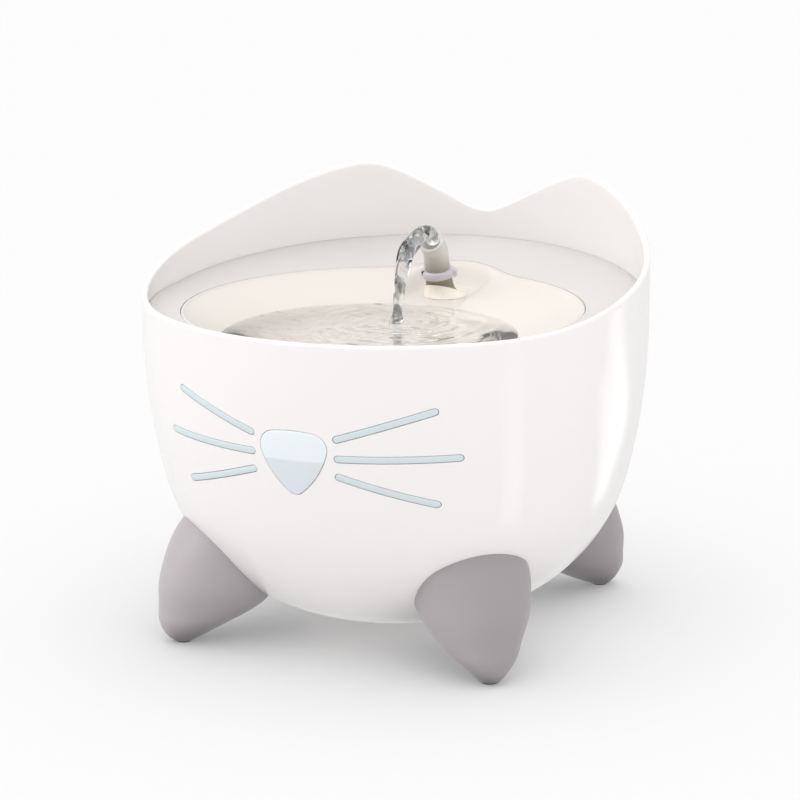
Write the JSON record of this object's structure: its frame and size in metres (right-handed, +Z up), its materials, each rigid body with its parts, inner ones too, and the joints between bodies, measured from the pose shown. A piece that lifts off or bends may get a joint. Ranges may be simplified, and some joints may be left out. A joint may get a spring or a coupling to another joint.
{
  "type": "pet water fountain",
  "caption": "Round pet water fountain with an ear-shaped back rim, claw feet, a nose light, whisker inlays, a lift-out dish tray and a swivelling spout over a pump and filter.",
  "frame": {"origin": "on the floor under the middle of the bowl", "axes": "+Z up, the face looks along -Y, +X is to the right of someone who looks at the face"},
  "size_m": [0.242, 0.242, 0.2048],
  "materials": {
    "white_shell": "glossy moulded ABS",
    "grey_feet": "satin moulded ABS",
    "soft_rubber": "matt",
    "steel_screws": "satin",
    "clear_blue": "polished translucent acrylic",
    "black_plastic": "satin",
    "green_board": "solder mask",
    "lamp": "clear resin",
    "grey_tray": "satin moulded polypropylene",
    "warm_white_dish": "polished moulded polypropylene",
    "cream_spout": "satin gloss",
    "olive_rubber": "matt silicone",
    "grey_collar": "satin gloss",
    "clear_tube": "translucent silicone",
    "white_inner_plastic": "satin",
    "ferrite": "matt sintered",
    "bush_ceramic": "ground",
    "copper": "enamelled winding",
    "potting": "cast epoxy",
    "filter_cotton": "felted",
    "filter_carbon": "granules in mesh",
    "cable": "satin PVC"
  },
  "bodies": {
    "bowl": {"outer_shell": "white_shell", "foot_front_left": "grey_feet", "foot_front_right": "grey_feet", "foot_rear_left": "grey_feet", "foot_rear_right": "grey_feet", "foot_pads": "soft_rubber", "foot_screws": "steel_screws", "nose_lens": "clear_blue", "nose_gasket": "soft_rubber", "light_box": "black_plastic", "led_board": "green_board", "leds": "lamp", "light_box_screws": "steel_screws", "level_pins": "steel_screws", "riser_pipe": "white_inner_plastic", "base_plate": "white_inner_plastic", "suction_cups": "soft_rubber", "pump_body": "black_plastic", "pump_cover": "black_plastic", "rotor_shaft": "steel_screws", "front_bush": "bush_ceramic", "rear_bush": "bush_ceramic", "stator_core": "steel_screws", "stator_coil": "copper", "pump_potting": "potting", "filter_housing": "white_inner_plastic", "inlet_socket": "black_plastic", "inlet_pin": "steel_screws", "inlet_gasket": "soft_rubber", "inlet_nut": "black_plastic", "pump_cable": "cable", "light_cable": "cable", "cable_clips": "black_plastic", "whisker_left_top": "clear_blue", "whisker_left_middle": "clear_blue", "whisker_left_bottom": "clear_blue", "whisker_right_top": "clear_blue", "whisker_right_middle": "clear_blue", "whisker_right_bottom": "clear_blue"},
    "tray": {"tray_surround": "grey_tray", "drinking_dish": "warm_white_dish"},
    "spout": {"spout_base": "cream_spout", "spout_neck": "olive_rubber", "spout_collar": "grey_collar", "spout_tube": "clear_tube", "spout_clip": "white_inner_plastic", "spout_seal": "soft_rubber"},
    "filter": {"filter_frame_front": "white_inner_plastic", "filter_frame_rear": "white_inner_plastic", "filter_cotton": "filter_cotton", "filter_carbon": "filter_carbon"},
    "dial": {"flow_dial": "black_plastic"},
    "rotor": {"impeller": "white_inner_plastic", "rotor_magnet": "ferrite"}
  },
  "joints": [
    {"name": "tray_lift", "type": "slide", "parent": "bowl", "child": "tray", "axis": [0, 0, 1], "range_m": [0, 0.2]},
    {"name": "filter_lift", "type": "slide", "parent": "bowl", "child": "filter", "axis": [0, 0, 1], "range_m": [0, 0.18]},
    {"name": "spout_swivel", "type": "hinge", "parent": "tray", "child": "spout", "pos_m": [0, 0.058, 0.147], "axis": [0, 0, 1], "range_deg": [-30, 30]},
    {"name": "dial_turn", "type": "hinge", "parent": "bowl", "child": "dial", "pos_m": [0, 0.0155, 0.043], "axis": [0, 1, 0], "range_deg": [0, 45]},
    {"name": "rotor_spin", "type": "hinge", "parent": "bowl", "child": "rotor", "pos_m": [0, 0.035, 0.043], "axis": [0, 1, 0], "continuous": true}
  ],
  "couplings": [
    {"joint": "filter_lift", "follows": "tray_lift", "ratio": 0.9}
  ]
}
